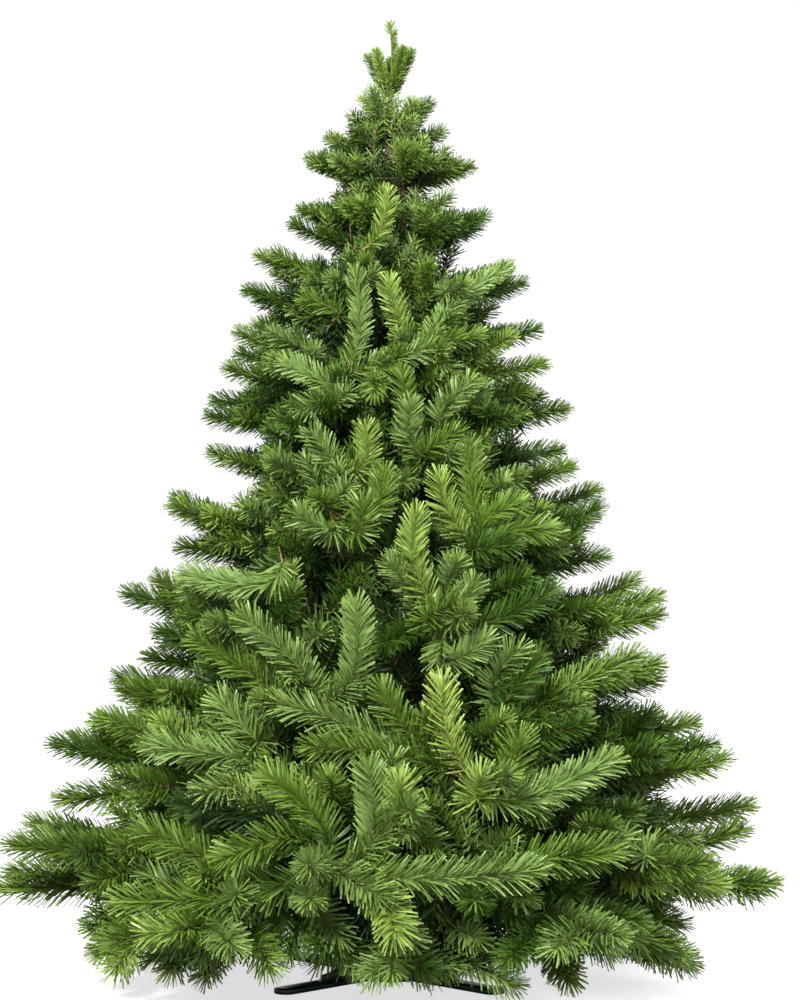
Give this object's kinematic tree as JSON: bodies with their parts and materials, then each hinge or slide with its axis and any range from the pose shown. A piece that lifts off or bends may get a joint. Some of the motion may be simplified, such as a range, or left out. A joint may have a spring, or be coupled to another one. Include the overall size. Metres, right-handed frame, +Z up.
{
  "type": "christmas tree",
  "caption": "Cut evergreen tree in a plain crossed steel stand: tapering trunk in a socket with thumbscrews, tiers of sagging limbs and brush-like needle shoots, upright leader.",
  "frame": {"origin": "centre of the stand's flat underside, on the floor", "axes": "+Z up along the trunk, -Y towards the viewer, +X to the viewer's right"},
  "size_m": [1.3203, 1.2456, 1.6039],
  "materials": {
    "bark": "rough grey-brown bark",
    "needles": "satin green needles on brown twigs",
    "needles_young": "satin yellow-green needles on orange-brown twigs",
    "stand_enamel": "dark green gloss enamel",
    "screw_steel": "zinc-plated steel"
  },
  "bodies": {
    "root": {"bough_tier01_1": "bark", "bough_tier01_2": "bark", "bough_tier01_3": "bark", "bough_tier01_4": "bark", "bough_tier01_5": "bark", "bough_tier01_6": "bark", "foliage_leader": "needles_young", "foliage_tier01_1": "needles", "foliage_tier01_2": "needles", "foliage_tier01_3": "needles", "foliage_tier01_4": "needles", "foliage_tier01_5": "needles", "foliage_tier01_6": "needles", "foliage_tier02_1": "needles", "foliage_tier02_2": "needles", "foliage_tier02_3": "needles", "foliage_tier03_1": "needles", "foliage_tier03_2": "needles", "foliage_tier03_3": "needles", "foliage_tier04_1": "needles", "foliage_tier04_2": "needles", "foliage_tier04_3": "needles", "foliage_tier05_1": "needles", "foliage_tier05_2": "needles", "foliage_tier05_3": "needles", "foliage_tier06_1": "needles", "foliage_tier06_2": "needles", "foliage_tier06_3": "needles", "foliage_tier07_1": "needles", "foliage_tier07_2": "needles", "foliage_tier07_3": "needles", "foliage_tier08_1": "needles", "foliage_tier08_2": "needles", "foliage_tier08_3": "needles", "foliage_tier09_1": "needles", "foliage_tier09_2": "needles", "foliage_tier09_3": "needles", "foliage_tier10_1": "needles", "foliage_tier10_2": "needles", "foliage_tier10_3": "needles", "foliage_tier11_1": "needles", "foliage_tier11_2": "needles", "foliage_tier11_3": "needles", "foliage_tier12_1": "needles", "foliage_tier12_2": "needles", "foliage_tier12_3": "needles", "foliage_tier13_1": "needles", "foliage_tier13_2": "needles", "foliage_tier14_1": "needles", "foliage_tier14_2": "needles", "stand_cross": "stand_enamel", "stand_gusset_1": "stand_enamel", "stand_gusset_2": "stand_enamel", "stand_gusset_3": "stand_enamel", "stand_gusset_4": "stand_enamel", "stand_screw_1": "screw_steel", "stand_screw_2": "screw_steel", "stand_screw_3": "screw_steel", "stand_socket": "stand_enamel", "trunk": "bark"}
  },
  "joints": []
}
